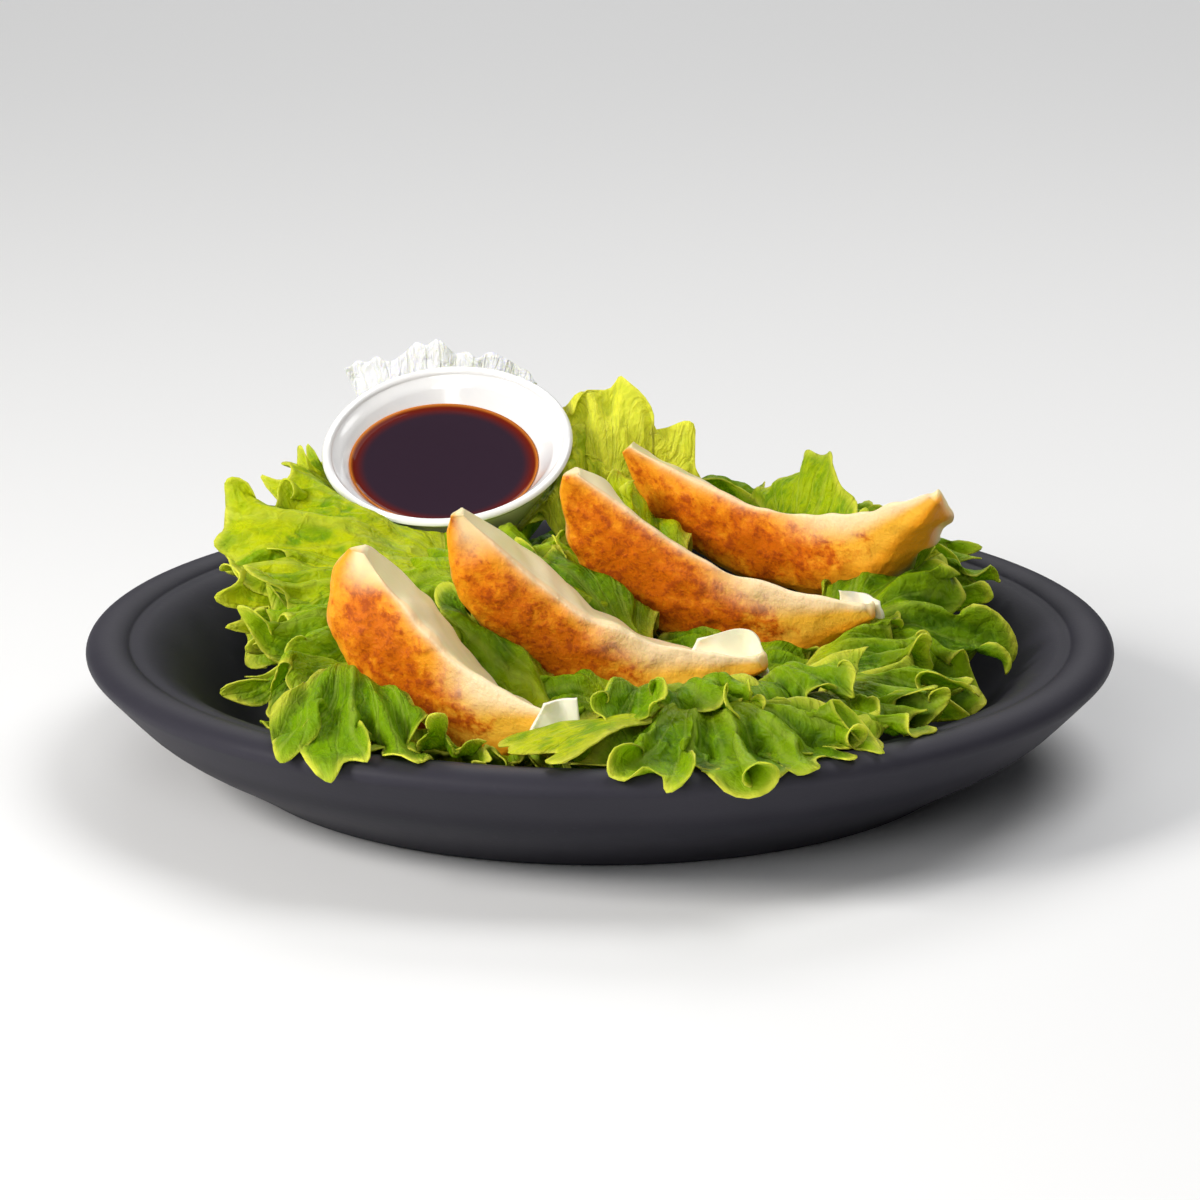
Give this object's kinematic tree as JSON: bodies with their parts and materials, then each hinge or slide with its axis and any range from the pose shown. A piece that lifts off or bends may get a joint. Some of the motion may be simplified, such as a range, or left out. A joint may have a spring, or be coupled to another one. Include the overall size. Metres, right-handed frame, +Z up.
{
  "type": "plated gyoza dumplings",
  "caption": "Pan-fried crescent dumplings leaning on frilly lettuce with a small bowl of soy dip, served on a round dark dinner plate.",
  "frame": {"origin": "centre of the plate's foot, on the surface it stands on", "axes": "+Z up; the dish is presented towards -Y, with the dip bowl at the back left (-X, +Y)"},
  "size_m": [0.26, 0.26, 0.0882],
  "materials": {
    "plate_glaze": "matt charcoal glaze with a faint sheen",
    "porcelain": "glossy white glaze",
    "soy_sauce": "wet, near black, red-brown where thin",
    "fried_wrapper": "fried wheat wrapper, golden to deep brown base, pale moist sides",
    "lettuce": "fresh frilly leaf, satin, yellow-green with darker folds"
  },
  "bodies": {
    "root": {"plate": "plate_glaze", "dip_bowl": "porcelain", "soy_sauce": "soy_sauce", "gyoza_1": "fried_wrapper", "gyoza_2": "fried_wrapper", "gyoza_3": "fried_wrapper", "gyoza_4": "fried_wrapper", "leaf_tail": "lettuce", "leaf_front": "lettuce", "leaf_stalk": "lettuce", "leaf_left_low": "lettuce", "leaf_fold": "lettuce", "leaf_left": "lettuce", "leaf_left_middle": "lettuce", "leaf_right": "lettuce", "leaf_behind_bowl": "lettuce", "leaf_back_middle": "lettuce", "leaf_back_right": "lettuce", "leaf_rear_left": "lettuce", "leaf_rear": "lettuce", "leaf_rear_right": "lettuce", "lettuce_heap": "lettuce"}
  },
  "joints": []
}
